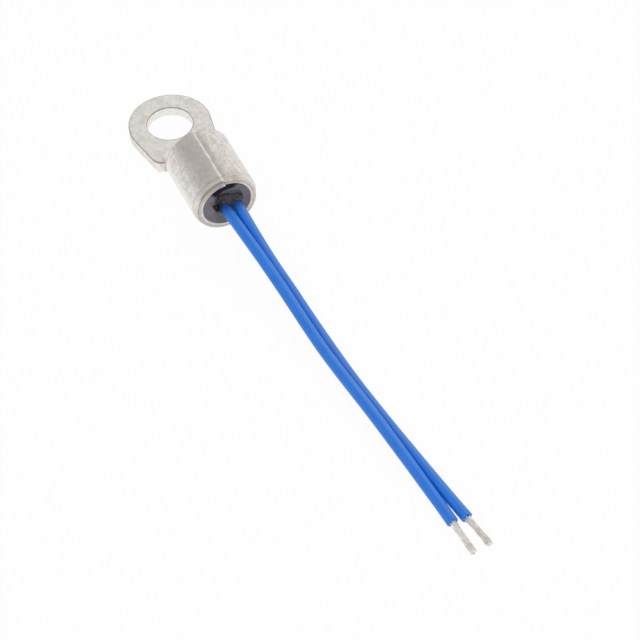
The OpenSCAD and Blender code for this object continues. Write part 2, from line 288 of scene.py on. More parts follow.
def blend(tree, share, first, second, mode="MIX"):
    """Mixes two colours, each a socket or three numbers."""
    node = put(tree, "ShaderNodeMix", {0: share}, data_type="RGBA", blend_type=mode)
    for socket, value in ((node.inputs[6], first), (node.inputs[7], second)):
        if hasattr(value, "is_linked"):
            tree.links.new(value, socket)
        else:
            socket.default_value = (*value, 1.0)
    return node.outputs[2]


def scaled(colour, share):
    """A colour made darker or lighter."""
    return tuple(share * part for part in colour)


def axes(tree, place):
    """The x, y and z of a place."""
    return put(tree, "ShaderNodeSeparateXYZ", {"Vector": place}).outputs


def painted_shade_at(tree, name):
    """A value that is kept on the mesh's own vertices."""
    return put(tree, "ShaderNodeAttribute", attribute_name=name).outputs["Fac"]


def object_place(tree, scale=(1.0, 1.0, 1.0)):
    """The place on the piece, stretched by a Mapping node."""
    coordinates = tree.nodes.new("ShaderNodeTexCoord")
    mapping = put(tree, "ShaderNodeMapping", {"Vector": coordinates.outputs["Object"]}, Scale=scale)
    return mapping.outputs[0]


def laid_place(tree, scale=(1.0, 1.0, 1.0)):
    """The place along and round a lead, as if it lay straight."""
    laid = put(tree, "ShaderNodeAttribute", attribute_name="laid_straight")
    mapping = put(tree, "ShaderNodeMapping", {"Vector": laid.outputs["Vector"]}, Scale=scale)
    return mapping.outputs[0]


def shade_group(name, inputs, outputs):
    """An empty shader group with float inputs, a Vector input and float outputs."""
    group = bpy.data.node_groups.new(name, "ShaderNodeTree")
    group.interface.new_socket("Vector", in_out="INPUT", socket_type="NodeSocketVector")
    for label, value in inputs.items():
        socket = group.interface.new_socket(label, in_out="INPUT", socket_type="NodeSocketFloat")
        socket.default_value = value
    for label in outputs:
        group.interface.new_socket(label, in_out="OUTPUT", socket_type="NodeSocketFloat")
    return group, group.nodes.new("NodeGroupInput"), group.nodes.new("NodeGroupOutput")


def grain_group():
    """Fine plated grain: a mask of pale and dark specks and its height."""
    name = "plated_grain"
    if name in bpy.data.node_groups:
        return bpy.data.node_groups[name]
    group, entry, leave = shade_group(name, {"Scale": 7000.0, "Spread": 0.2}, ["Speck", "Height"])
    vector, scale, spread = (entry.outputs[n] for n in ("Vector", "Scale", "Spread"))
    fine = put(group, "ShaderNodeTexNoise", {"Vector": vector, "Scale": scale}, Detail=3.0,
               Roughness=0.6)
    wider = times(group, scale, 0.31)
    coarse = put(group, "ShaderNodeTexNoise", {"Vector": vector, "Scale": wider}, Detail=2.0)
    step = put(group, "ShaderNodeMapRange",
               {"Value": plus(group, fine.outputs[0], coarse.outputs[0]),
                "From Min": minus(group, 1.0, spread), "From Max": plus(group, 1.0, spread)})
    group.links.new(step.outputs["Result"], leave.inputs["Speck"])
    group.links.new(fine.outputs[0], leave.inputs["Height"])
    return group


def patch_group():
    """Soft patches and rare small pits."""
    name = "patches_and_pits"
    if name in bpy.data.node_groups:
        return bpy.data.node_groups[name]
    group, entry, leave = shade_group(
        name, {"Scale": 900.0, "Pit Scale": 1500.0, "Pit Size": 0.09}, ["Patch", "Pit"])
    vector = entry.outputs["Vector"]
    cloud = put(group, "ShaderNodeTexNoise", {"Vector": vector, "Scale": entry.outputs["Scale"]},
                Detail=4.0, Roughness=0.55, Distortion=0.4)
    cells = put(group, "ShaderNodeTexVoronoi",
                {"Vector": vector, "Scale": entry.outputs["Pit Scale"]}, Randomness=1.0)
    near = maths(group, "LESS_THAN", cells.outputs["Distance"], entry.outputs["Pit Size"])
    rare = put(group, "ShaderNodeTexNoise", {"Vector": vector}, Scale=420.0, Detail=1.0)
    there = maths(group, "GREATER_THAN", rare.outputs[0], 0.6)
    group.links.new(ramp(group, cloud.outputs[0], 0.36, 0.66), leave.inputs["Patch"])
    group.links.new(times(group, near, there), leave.inputs["Pit"])
    return group


def use_group(tree, group, vector, **values):
    node = put(tree, "ShaderNodeGroup", node_tree=group)
    tree.links.new(vector, node.inputs["Vector"])
    for name, value in values.items():
        node.inputs[name.replace("_", " ")].default_value = value
    return node.outputs


def start_finish(name, **values):
    """A new material with its surface shader; the keywords are sockets of the shader."""
    material = bpy.data.materials.new(name)
    material.use_nodes = True
    tree = material.node_tree
    tree.nodes.clear()
    surface = put(tree, "ShaderNodeBsdfPrincipled", **values)
    put(tree, "ShaderNodeOutputMaterial", {"Surface": surface.outputs[0]})
    return material, tree, surface


def join(tree, surface, **sources):
    """Links each keyword's source to the shader's socket of that name."""
    for name, source in sources.items():
        tree.links.new(source, surface.inputs[name.replace("_", " ")])


def relief(tree, surface, height, deep, strength):
    bump = put(tree, "ShaderNodeBump", {"Height": height}, Strength=strength, Distance=deep)
    join(tree, surface, Normal=bump.outputs[0])


# Finishes

def painted_light_tin(tree, x, y, z, sizes):
    """Painted light: the tin is palest on the hole's wall and low on the barrel's flank beside lead
    a, where they reflect the white paper.
    """
    hole = ramp(tree, from_centre(tree, x, y), sizes.hole / 2 + 0.04 * MM, sizes.hole / 2)
    flank = times(tree, ramp(tree, y, -2.0 * MM, -2.5 * MM),
                  ramp(tree, z, sizes.barrel_width * 0.68, sizes.barrel_width * 0.5),
                  ramp(tree, x, 6.0 * MM, 8.0 * MM),
                  ramp(tree, x, sizes.mouth - 0.5 * MM, sizes.mouth - 0.8 * MM))
    return maths(tree, "MAXIMUM", times(tree, hole, 0.45), flank)


def painted_shade_beside_b(tree, x, y, above, patch, sizes):
    """Painted shade on the barrel right of the seam beside lead b, most of all by the mouth."""
    by_mouth = ramp(tree, x, sizes.mouth - 1.6 * MM, sizes.mouth - 0.4 * MM)
    return times(tree, plus(tree, 0.30, times(tree, by_mouth, 0.85)),
                 ramp(tree, y, 0.02 * MM, 0.15 * MM), ramp(tree, y, 2.1 * MM, 0.9 * MM),
                 above, ramp(tree, patch, -0.6, 0.9))


def painted_seam_shade(tree, y, above):
    """Painted shade in a band on each side of the seam, where the barrel reflects the darker room.
    """
    beside_a = times(tree, ramp(tree, y, -0.27 * MM, -0.37 * MM),
                     ramp(tree, y, -2.7 * MM, -1.6 * MM))
    beside_b = times(tree, ramp(tree, y, 0.0, 0.04 * MM), ramp(tree, y, 0.85 * MM, 0.1 * MM), 0.6)
    return times(tree, plus(tree, beside_a, beside_b), above)


def tin_finish(tones, sizes):
    """Matte tin: plated grain and pits, painted shade beside the seam and on the sheared rims, and
    painted light on the hole's wall and the low flank beside lead a.
    """
    material, tree, surface = start_finish("matte_tin")
    place = object_place(tree)
    x, y, z = axes(tree, place)
    grain = use_group(tree, grain_group(), place, Scale=7500.0, Spread=0.2)
    patches = use_group(tree, patch_group(), place, Scale=1500.0, Pit_Scale=1900.0, Pit_Size=0.1)
    streaks = use_group(tree, grain_group(), object_place(tree, (0.22, 1.0, 1.0)), Scale=3400.0,
                        Spread=0.3)
    above = ramp(tree, z, sizes.barrel_width * 0.6, sizes.barrel_width * 0.75)
    rolled = ramp(tree, x, 6.8 * MM, 8.5 * MM)
    # Painted light on the hole's wall and the low flank, where fewer specks show
    pale = painted_light_tin(tree, x, y, z, sizes)
    # Painted shade right of the seam beside lead b
    stained = painted_shade_beside_b(tree, x, y, above, patches["Patch"], sizes)
    tin = blend(tree, times(tree, patches["Patch"], 0.6), tones.tin, tones.tin_warm)
    tin = blend(tree, pale, tin, tones.tin_painted_light)
    tin = blend(tree, stained, tin, tones.tin_streak_and_shade, "MULTIPLY")
    # Painted shade in the band on each side of the seam
    tin = blend(tree, painted_seam_shade(tree, y, above), tin, tones.tin_seam_shade)
    # The rolling left faint streaks along the barrel
    tin = blend(tree, times(tree, streaks["Speck"], rolled, 0.16), tin, tones.tin_streak_and_shade, "MULTIPLY")
    specks = times(tree, grain["Speck"], plus(tree, 0.34, times(tree, rolled, 0.12)),
                   minus(tree, 1.0, times(tree, pale, 0.75)))
    tin = blend(tree, specks, tin, scaled(tones.tin_warm, 0.55))
    tin = blend(tree, times(tree, patches["Pit"], 0.6), tin, tones.pit)
    # Painted shade on the outer rims of the sheared edges, the bevel's crease and the lip
    rim = times(tree, ramp(tree, painted_shade_at(tree, "painted_edge_shade"), *EDGE_SHADE_SHOWS), 0.85)
    tin = blend(tree, rim, tin, tones.tin_edge_shade)
    # The sheared face of the mouth is dull, with a painted shade line round it where the rim has a
    # shallow groove
    dull = ramp(tree, x, sizes.mouth - 0.34 * MM, sizes.mouth - 0.24 * MM)
    from_axis = from_centre(tree, y, minus(tree, z, sizes.barrel_width / 2))
    painted_groove_line = times(tree, ramp(tree, from_axis, 2.62 * MM, 2.68 * MM),
                   ramp(tree, from_axis, 2.78 * MM, 2.72 * MM), dull, 0.45)
    tin = blend(tree, times(tree, dull, 0.7), tin, tones.tin_cut, "MULTIPLY")
    tin = blend(tree, painted_groove_line, tin, tones.tin_edge_shade)
    join(tree, surface, Base_Color=tin, Metallic=minus(tree, 1.0, times(tree, dull, 0.75)),
         Roughness=plus(tree, times(tree, grain["Speck"], 0.12), 0.40))
    relief(tree, surface, minus(tree, grain["Height"], patches["Pit"]), 0.012 * MM, 0.7)
    return material


def resin_finish(tones):
    """Glossy potting resin: dust in its skin, a painted highlight on the side of lead a, and
    painted shade, less glossy, in the crescent under the barrel's top.
    """
    material, tree, surface = start_finish("potting_resin", IOR=1.55)
    place = object_place(tree)
    grain = use_group(tree, grain_group(), place, Scale=9000.0, Spread=0.3)
    patches = use_group(tree, patch_group(), place, Scale=1400.0, Pit_Scale=5200.0, Pit_Size=0.16)
    # Painted highlight: the resin is lighter on the side of lead a
    painted_sheen = ramp(tree, axes(tree, place)[1], -0.9 * MM, -1.5 * MM)
    # Painted shade: black and less glossy in the crescent under the barrel's top
    drawn = painted_shade_at(tree, "painted_crescent")
    resin = blend(tree, patches["Patch"], tones.resin, scaled(tones.resin, 1.3))
    resin = blend(tree, painted_sheen, resin, scaled(tones.resin, 1.45))
    resin = blend(tree, times(tree, patches["Pit"], 0.5), resin, tones.resin_dust)
    resin = blend(tree, drawn, resin, tones.resin_crescent_shade)
    join(tree, surface, Base_Color=resin,
         Specular_IOR_Level=minus(tree, 0.5, times(tree, drawn, 0.46)),
         Roughness=plus(tree, times(tree, patches["Patch"], 0.10), 0.15))
    relief(tree, surface, grain["Height"], 0.004 * MM, 0.5)
    return material


def coating_finish(tones):
    """Rough black dip coating with grey crumbs; its upper side towards lead a is less glossy and
    darkened with painted shade.
    """
    material, tree, surface = start_finish("bead_coating_black", IOR=1.5)
    place = object_place(tree)
    x, y, z = axes(tree, place)
    grain = use_group(tree, grain_group(), place, Scale=8000.0, Spread=0.25)
    patches = use_group(tree, patch_group(), place, Scale=2600.0, Pit_Scale=4600.0, Pit_Size=0.3)
    # Painted shade: darker and less glossy on the upper side towards lead a
    dull = times(tree, ramp(tree, y, -0.1 * MM, -0.8 * MM), ramp(tree, z, 2.9 * MM, 3.3 * MM))
    coat = blend(tree, patches["Patch"], tones.coating, scaled(tones.coating, 3.0))
    coat = blend(tree, times(tree, patches["Pit"], 0.8), coat, tones.crumb)
    coat = blend(tree, dull, coat, tones.coating_shade, "MULTIPLY")
    join(tree, surface, Base_Color=coat,
         Specular_IOR_Level=minus(tree, 0.5, times(tree, dull, 0.26)),
         Roughness=plus(tree, times(tree, grain["Speck"], 0.3), 0.36))
    relief(tree, surface, grain["Height"], 0.04 * MM, 1.0)
    return material


def insulation_finish(tones, sizes):
    """Satin blue plastic with faint drawn streaks, stained where it leaves the coating, with a
    painted highlight along its upper side, a little towards +Y.
    """
    material, tree, surface = start_finish("satin_blue_insulation", IOR=1.48)
    laid = laid_place(tree)
    x, y, along = axes(tree, laid)
    streaks = use_group(tree, grain_group(), laid_place(tree, (1.0, 1.0, 0.05)), Scale=5200.0,
                        Spread=0.3)
    patches = use_group(tree, patch_group(), laid_place(tree, (1.0, 1.0, 0.5)), Scale=900.0,
                        Pit_Scale=1700.0, Pit_Size=0.05)
    grain = use_group(tree, grain_group(), laid, Scale=9000.0, Spread=0.35)
    blue = blend(tree, times(tree, patches["Patch"], 0.3), tones.blue, tones.blue_deep)
    blue = blend(tree, times(tree, streaks["Speck"], 0.25), blue, tones.blue_deep)
    # How far towards the side with the painted highlight, as a share of the lead's radius
    along_y, along_z = PAINTED_HIGHLIGHT_SIDE
    side = plus(tree, times(tree, x, 2 * along_y / sizes.lead),
                times(tree, y, 2 * along_z / sizes.lead))
    # Painted highlight along that side
    blue = blend(tree, times(tree, ramp(tree, side, 0.84, 0.99), 0.6), blue, tones.blue_highlight)
    ragged = plus(tree, along, times(tree, grain["Height"], 0.5 * MM))
    stain = ramp(tree, ragged, sizes.held + 1.5 * MM, sizes.held + 0.2 * MM)
    blue = blend(tree, stain, blue, tones.blue_stain)
    blue = blend(tree, times(tree, patches["Pit"], 0.4), blue, tones.blue_dust)
    join(tree, surface, Base_Color=blue,
         Roughness=plus(tree, times(tree, grain["Speck"], 0.12), 0.27))
    height = plus(tree, times(tree, streaks["Height"], 0.7), times(tree, grain["Height"], 0.5))
    relief(tree, surface, height, 0.008 * MM, 0.6)
    return material


def strand_finish(tones):
    """Tinned strands, bright where the tin ran and dull brown where it didn't."""
    material, tree, surface = start_finish("tinned_strands", Metallic=1.0)
    place = object_place(tree)
    grain = use_group(tree, grain_group(), place, Scale=9000.0, Spread=0.25)
    patches = use_group(tree, patch_group(), place, Scale=1700.0, Pit_Scale=5000.0, Pit_Size=0.14)
    tin = blend(tree, patches["Patch"], tones.strand, tones.strand_dull)
    tin = blend(tree, times(tree, grain["Speck"], 0.15), tin, tones.strand_dull)
    join(tree, surface, Base_Color=tin,
         Roughness=plus(tree, times(tree, patches["Patch"], 0.18), 0.30))
    relief(tree, surface, grain["Height"], 0.006 * MM, 0.5)
    return material


def inner_finish(name, colour, metallic, smoothest, scale):
    """Finish of a piece that the resin hides: its colour in fine grain."""
    material, tree, surface = start_finish(name, Metallic=metallic)
    place = object_place(tree)
    grain = use_group(tree, grain_group(), place, Scale=scale, Spread=0.25)
    patches = use_group(tree, patch_group(), place, Scale=scale / 4, Pit_Scale=scale / 2)
    skin = blend(tree, patches["Patch"], colour, scaled(colour, 0.8))
    skin = blend(tree, times(tree, grain["Speck"], 0.3), skin, scaled(colour, 0.6))
    join(tree, surface, Base_Color=skin,
         Roughness=plus(tree, times(tree, grain["Speck"], 0.15), smoothest))
    relief(tree, surface, grain["Height"], 0.01 * MM, 0.8)
    return material


# Mesh helpers

def verts_of(result, key="geom"):
    return [item for item in result[key] if isinstance(item, bmesh.types.BMVert)]


def finish_piece(bm, name, material, slot, *nodes):
    """Turns a bmesh into a piece that rides on the part and stands for its CAD nodes."""
    mesh = bpy.data.meshes.new(name)
    bm.to_mesh(mesh)
    bm.free()
    mesh.shade_smooth()
    mesh.materials.append(material)
    piece = bpy.data.objects.new(name, mesh)
    bpy.context.scene.collection.objects.link(piece)
    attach(piece, "root")
    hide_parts(*nodes)
    return piece


def draw_arc(bm, start, centre, turn, steps):
    """Spins a vertex round a centre, clockwise for a turn below 0; gives the new vertices."""
    before = len(bm.verts)
    bmesh.ops.spin(bm, geom=[start], cent=(*centre, 0.0), axis=(0.0, 0.0, 1.0),
                   dvec=(0.0, 0.0, 0.0), angle=turn, steps=steps,
                   use_merge=False, use_duplicate=False)
    bm.verts.ensure_lookup_table()
    return [bm.verts[i] for i in range(before, len(bm.verts))]


def draw_line(bm, start, end):
    new = verts_of(bmesh.ops.extrude_vert_indiv(bm, verts=[start]), "verts")[0]
    new.co = (*end, 0.0)
    return new


def polar(centre, radius, turn):
    return (centre[0] + radius * math.cos(turn), centre[1] + radius * math.sin(turn))


# The lug

RING_STEPS = 26
SHOULDER_STEPS = 10
NOTCH_STEPS = 4
BARREL_STEPS = 16
TONGUE_CELLS = 4
NECK_CELLS = 20
WING_CELLS = 11
# Columns beside the seam, as distances from it in millimetres
SEAM_COLUMNS = (0.85, 0.7, 0.55, 0.42, 0.32, 0.27, 0.23, 0.16, 0.08, 0.0)
# How far from the seam the wing on the side of lead b starts to roll off
ROLL_REACH = 0.85 * MM
# Faces that meet at more than this leave a sheared edge
SHEARED = math.radians(40)
# Painted shade on the edges goes from 0 to 1, and the tin shows it between these values
EDGE_SHADE_SHOWS = (0.82, 0.97)
# How much painted shade lies along the bevel's crease, the lip beside lead a and the mouth's edge
# beside lead b
CREASE_SHADE = 0.92
LIP_SHADE = 0.91
MOUTH_EDGE_SHADE = 0.86


def half_tongue(bm, sizes):
    """Half of the flat tongue: the outline is drawn, the hole is cut and the two are bridged."""
    ring = sizes.ring / 2
    shoulder = sizes.shoulder_round
    notch = sizes.notch_round
    half_neck = sizes.neck_width / 2
    heart = (sizes.shoulder_reach - shoulder, sizes.shoulder_width / 2 - shoulder)
    side = math.atan2(heart[1], heart[0]) + math.acos((ring - shoulder) / math.hypot(*heart))
    rise = half_neck + notch - heart[1]
    notch_x = heart[0] + math.sqrt((shoulder + notch) ** 2 - rise ** 2)
    meet = math.atan2(rise, notch_x - heart[0])
    first = bm.verts.new((-ring, 0.0, 0.0))
    draw_arc(bm, first, (0.0, 0.0), side - math.pi, RING_STEPS)
    bm.verts.ensure_lookup_table()
    corner = draw_line(bm, bm.verts[-1], polar(heart, shoulder, side))
    last = draw_arc(bm, corner, heart, meet - side, SHOULDER_STEPS)[-1]
    last = draw_arc(bm, last, (notch_x, half_neck + notch), math.pi / 2 - meet, NOTCH_STEPS)[-1]
    last = draw_line(bm, last, (sizes.barrel_start - sizes.wing_round, half_neck))
    draw_line(bm, last, (sizes.barrel_start - sizes.wing_round, 0.0))
    bm.edges.ensure_lookup_table()
    bmesh.ops.subdivide_edges(bm, edges=[bm.edges[-1]], cuts=NECK_CELLS - 1)
    outer = bm.edges[:]
    hole_start = bm.verts.new((-sizes.hole / 2, 0.0, 0.0))
    draw_arc(bm, hole_start, (0.0, 0.0), -math.pi, len(outer))
    hole = [e for e in bm.edges if e not in set(outer)]
    bmesh.ops.bridge_loops(bm, edges=outer + hole)
    rims = set(outer + hole)
    spokes = [e for e in bm.edges if e not in rims]
    bmesh.ops.subdivide_edges(bm, edges=spokes, cuts=TONGUE_CELLS - 1, use_grid_fill=True)


def place_grid(bm, rows, columns, place):
    """A grid whose vertex in a row and a column goes where place says."""
    grid = bmesh.ops.create_grid(bm, x_segments=columns, y_segments=rows, size=0.5)
    for index, vert in enumerate(grid["verts"]):
        row, column = divmod(index, columns + 1)
        vert.co = (*place(row, column), 0.0)


def neck_rows(sizes):
    """Rows of the strip from the notch to the mouth, as distance and half width."""
    turns = [math.radians(a) for a in range(0, 91, 9)]
    wing = sizes.wing_round
    start = sizes.barrel_start
    fillet = [(start - wing * (1 - math.sin(a)), sizes.neck_width / 2 + wing * (1 - math.cos(a)))
              for a in turns]
    return fillet + [(x, fillet[-1][1]) for x in barrel_rows(sizes)[1:]]


def barrel_rows(sizes):
    """Rows along the barrel: even ones, then where bevel and funnel start, then the mouth."""
    start = sizes.barrel_start
    end = sizes.mouth - sizes.bevel_long
    even = [start + (end - start) * i / BARREL_STEPS for i in range(BARREL_STEPS)]
    crease = [end - 0.04 * MM, end, sizes.mouth - sizes.funnel_long]
    return even + crease + [sizes.mouth - 0.2 * MM, sizes.mouth]


def rolled_radius(sizes):
    return (sizes.barrel_width - sizes.strip) / 2


def flat_blank(sizes):
    """The stamped blank as a flat sheet."""
    bm = bmesh.new()
    half_tongue(bm, sizes)
    rows = neck_rows(sizes)
    place_grid(bm, len(rows) - 1, NECK_CELLS,
               lambda r, c: (rows[r][0], rows[r][1] * c / NECK_CELLS))
    along = barrel_rows(sizes)
    inner = rows[-1][1]
    edge = math.pi * rolled_radius(sizes) - sizes.seam_gap / 2
    reach = edge - 1.0 * MM - inner
    across = [inner + reach * c / WING_CELLS for c in range(WING_CELLS + 1)]
    across += [edge - near * MM for near in SEAM_COLUMNS]
    place_grid(bm, len(along) - 1, len(across) - 1, lambda r, c: (along[r], across[c]))
    bmesh.ops.remove_doubles(bm, verts=bm.verts, dist=SAME_PLACE)
    bmesh.ops.mirror(bm, geom=bm.verts[:] + bm.edges[:] + bm.faces[:], axis="Y",
                     merge_dist=SAME_PLACE)
    bmesh.ops.remove_doubles(bm, verts=bm.verts, dist=SAME_PLACE)
    bmesh.ops.recalc_face_normals(bm, faces=bm.faces)
    return bm


def thicken(bm, sizes):
    """Gives the sheet the strip's thickness, half above and half below its middle."""
    lower = verts_of(bmesh.ops.extrude_face_region(bm, geom=bm.faces[:]))
    bmesh.ops.translate(bm, verts=lower, vec=(0.0, 0.0, -sizes.strip / 2))
    lower = set(lower)
    upper = [v for v in bm.verts if v not in lower]
    bmesh.ops.translate(bm, verts=upper, vec=(0.0, 0.0, sizes.strip / 2))
    bmesh.ops.recalc_face_normals(bm, faces=bm.faces)


def sharpen_corners(bm, sizes):
    """Draws the shoulders' lower corners out, where the punch has broken the strip away."""
    radius = sizes.shoulder_round
    heart = Vector((sizes.shoulder_reach - radius, sizes.shoulder_width / 2 - radius))
    side = math.atan2(heart.y, heart.x) + math.acos((sizes.ring / 2 - radius) / heart.length)
    for vert in bm.verts:
        x, s, h = vert.co
        out = Vector((x, abs(s))) - heart
        turn = math.atan2(out.y, out.x)
        if h > 0 or not 0 < turn < side or out.length > radius * 1.01:
            continue
        corner = 1 / max(math.cos(turn - side), math.cos(turn)) - 1
        grown = 1 + sizes.corner_share * corner * (out.length / radius) ** 4
        place = heart + out * grown
        vert.co = (place.x, math.copysign(place.y, s), h)


def slope_to_seam(bm, sizes):
    """Slopes the outside down to the seam; the wing beside lead b also rolls off before it."""
    edge = math.pi * rolled_radius(sizes) - sizes.seam_gap / 2
    for vert in bm.verts:
        x, s, h = vert.co
        if h > 0 or x < sizes.barrel_start - 0.01 * MM:
            continue
        near = edge - abs(s)
        deep = sizes.seam_deep_b if s > 0 else sizes.seam_deep_a
        drop = deep * max(0.0, 1 - near / sizes.seam_flank)
        if s > 0:
            drop += sizes.seam_roll * smooth(1 - near / ROLL_REACH)
        vert.co.z += drop


def shape_mouth(bm, sizes):
    """Bevels the mouth's outside, flares its inside and sets one wing and the bottom back."""
    edge = math.pi * rolled_radius(sizes)
    for vert in bm.verts:
        x, s, h = vert.co
        if h < 0:
            vert.co.z += sizes.bevel_deep * max(0.0, 1 - (sizes.mouth - x) / sizes.bevel_long)
        else:
            vert.co.z -= sizes.funnel_deep * max(0.0, 1 - (sizes.mouth - x) / sizes.funnel_long)
        behind = smooth((x - sizes.mouth + sizes.bevel_long * 2) / sizes.bevel_long)
        vert.co.x -= sizes.mouth_jog * behind * smooth(s / edge * 1.6 - 0.5)
        vert.co.x -= sizes.mouth_slant * behind * (1 + math.cos(s / rolled_radius(sizes))) / 2


def roll_up(bm, sizes):
    """Bends the flat blank: the curl tightens from nothing at its start to the barrel's radius."""
    edge = math.pi * rolled_radius(sizes)
    half_neck = sizes.neck_width / 2
    for vert in bm.verts:
        x, s, h = vert.co
        curl = smooth((x - sizes.curl_start) / sizes.curl_long) / rolled_radius(sizes)
        if x < sizes.shoulder_reach + sizes.notch_round:
            curl *= 1 - smooth((abs(s) - half_neck) / sizes.notch_round)
        curl = max(1e-4, curl)
        s -= sizes.seam_turn * rolled_radius(sizes) * (s / edge) ** 2
        radius = 1 / curl
        turn = s * curl
        vert.co = (x, (radius - h) * math.sin(turn),
                   sizes.strip / 2 + radius - (radius - h) * math.cos(turn))


def round_edges(bm, sizes):
    """Marks the sheared edges to be rounded, and how much painted shade darkens their outer rims,
    the bevel's crease and the lip.
    """
    weights = bm.edges.layers.float.new("bevel_weight_edge")
    rim_shade = bm.verts.layers.float.new("painted_edge_shade")
    edge = math.pi * rolled_radius(sizes) - sizes.seam_gap
    crease = sizes.mouth - sizes.bevel_long
    for vert in bm.verts:
        x, s, h = vert.co
        # Painted shade along the bevel's crease and the outer lip beside lead a
        if h < 0 and min(abs(x - crease), abs(x - crease + sizes.mouth_jog)) < 0.05 * MM:
            vert[rim_shade] = CREASE_SHADE
        elif h < 0 and s < 0 and 0.1 * MM < sizes.mouth - x < 0.3 * MM:
            vert[rim_shade] = LIP_SHADE * smooth((-s / edge - 0.56) / 0.14)
    for item in bm.edges:
        if item.calc_face_angle(0.0) < SHEARED:
            continue
        seam = all(abs(v.co.y) > edge for v in item.verts)
        item[weights] = 0.4 if seam else 1.0
        for vert in () if seam else item.verts:
            x, s, h = vert.co
            outside = h > 0 if x < sizes.shoulder_reach + sizes.notch_round else h < 0
            at_mouth = x > sizes.mouth - 0.01 * MM
            vert[rim_shade] = outside * (MOUTH_EDGE_SHADE if at_mouth and s > 0 else 1.0)


class THERMISTOR_OT_ring_lug(Operator):
    """Cut the blank, give it its thickness, shape its mouth and roll it up"""
    bl_idname = "thermistor.ring_lug"
    bl_label = "Ring lug"

    def execute(self, context):
        sizes = context.scene.lug_sizes
        bm = flat_blank(sizes)
        thicken(bm, sizes)
        round_edges(bm, sizes)
        sharpen_corners(bm, sizes)
        slope_to_seam(bm, sizes)
        shape_mouth(bm, sizes)
        roll_up(bm, sizes)
        open_edges = sum(1 for e in bm.edges if len(e.link_faces) != 2)
        if open_edges:
            raise RuntimeError(f"the lug's blank has {open_edges} open edges")
        lug = finish_piece(bm, "rolled_ring_lug", tin_finish(context.scene.finishes, sizes),
                           "tinned_copper", "ring_lug")
        bevel = lug.modifiers.new("Rounded edges", "BEVEL")
        bevel.limit_method = "WEIGHT"
        bevel.width = sizes.edge_round
        bevel.segments = 4
        bevel.profile = 0.5
        lug.modifiers.new("Even shading", "WEIGHTED_NORMAL").keep_sharp = True
        return {"FINISHED"}


# Resin and bead

# The joints are round about the leads and flat where they meet the chip
JOINT_RADIUS = (JOINT_A_HIGH.z - JOINT_A_LOW.z) / 2
LEAD_UP = JOINT_A_LOW.z + JOINT_RADIUS
LEAD_CENTRES = ((JOINT_A_LOW.y + JOINT_RADIUS, LEAD_UP), (JOINT_B_HIGH.y - JOINT_RADIUS, LEAD_UP))
BEAD_MIDDLE = (BEAD_LOW + BEAD_HIGH) / 2
BEAD_HALF = (BEAD_HIGH - BEAD_LOW) / 2
BEAD_CORNER = 0.62 * MM

RESIN_RINGS = 34
RESIN_STEPS = 96
# Turns from the barrel's top towards lead b, in degrees, and how far from the wall the resin
# hangs down more steeply there, in millimetres
RESIN_SLOPES = ((-180, 0), (-42, 0), (-36, 0.95), (-22, 0.85), (-5, 0.78), (17, 0.64), (24, 0.5),
                (27, 0), (180, 0))
# How hollow the resin is at each turn: 1 is a plain cone, 2 is a bowl that is steep at its rim
RESIN_BOWL = ((-180, 2), (-125, 1.7), (-90, 1.05), (32, 1.05), (60, 2), (180, 2))

# Superellipsoid power of the coating's bar: 2 is an ellipsoid and more is squarer
BEAD_SQUARE = 3.6
# Bubbles lie round the bead between these turns, in degrees, this far behind its face and this
# far outside its outline
BUBBLE_TURNS = (188, 248)
BUBBLE_DEPTHS = (0.1 * MM, 0.45 * MM)
BUBBLE_SPREAD = (-0.2 * MM, 0.12 * MM)
# Drops of coating that has crept between the leads and beside lead a, in millimetres: place from
# the bead's face, from the pair's middle or lead a, and above the leads' centres, then half the
# drop's length and its radius
MIDDLE_DROP = (0.10, 0.0, 0.12, 0.55, 0.20)
DROPS_BESIDE_A = ((-0.15, -0.50, -0.05, 0.45, 0.18), (-0.28, -0.40, 0.28, 0.42, 0.24))


def bead_distance(y, z):
    """Distance outside the bead's rounded outline, seen from the mouth."""
    dy = max(abs(y - BEAD_MIDDLE.y) - BEAD_HALF.y + BEAD_CORNER, 0.0)
    dz = max(abs(z - BEAD_MIDDLE.z) - BEAD_HALF.z + BEAD_CORNER, 0.0)
    return max(0.0, math.hypot(dy, dz) - BEAD_CORNER)


def at_turn(table, turn):
    """Reads a table by the turn from the barrel's top."""
    degrees = math.degrees(turn)
    for (start, low), (end, high) in zip(table, table[1:]):
        if start <= degrees <= end:
            return low + (high - low) * smooth((degrees - start) / (end - start))
    return 0.0


def spin_resin(bm, lug, mouth):
    """Spins the resin's section round the barrel's axis, with a flat face at the mouth."""
    axis = lug.barrel_width / 2
    bore = axis - lug.strip
    section = [(RESIN_LOW.x + mouth.back_dish * (1 - (r / bore) ** 2), r)
               for r in (0.0, 0.35 * bore, 0.7 * bore, bore)]
    section.append((lug.mouth - lug.funnel_long, bore))
    section += [(RESIN_HIGH.x, RESIN_HIGH.y * (1 - (i / RESIN_RINGS) ** 1.4))
                for i in range(RESIN_RINGS + 1)]
    verts = [bm.verts.new((x, 0.0, axis + r)) for x, r in section]
    edges = [bm.edges.new(pair) for pair in zip(verts, verts[1:])]
    bmesh.ops.spin(bm, geom=verts + edges, cent=(0.0, 0.0, axis), axis=(1.0, 0.0, 0.0),
                   dvec=(0.0, 0.0, 0.0), angle=2 * math.pi, steps=RESIN_STEPS,
                   use_merge=True, use_duplicate=False)
    bmesh.ops.remove_doubles(bm, verts=bm.verts, dist=SAME_PLACE)
    bmesh.ops.recalc_face_normals(bm, faces=bm.faces)


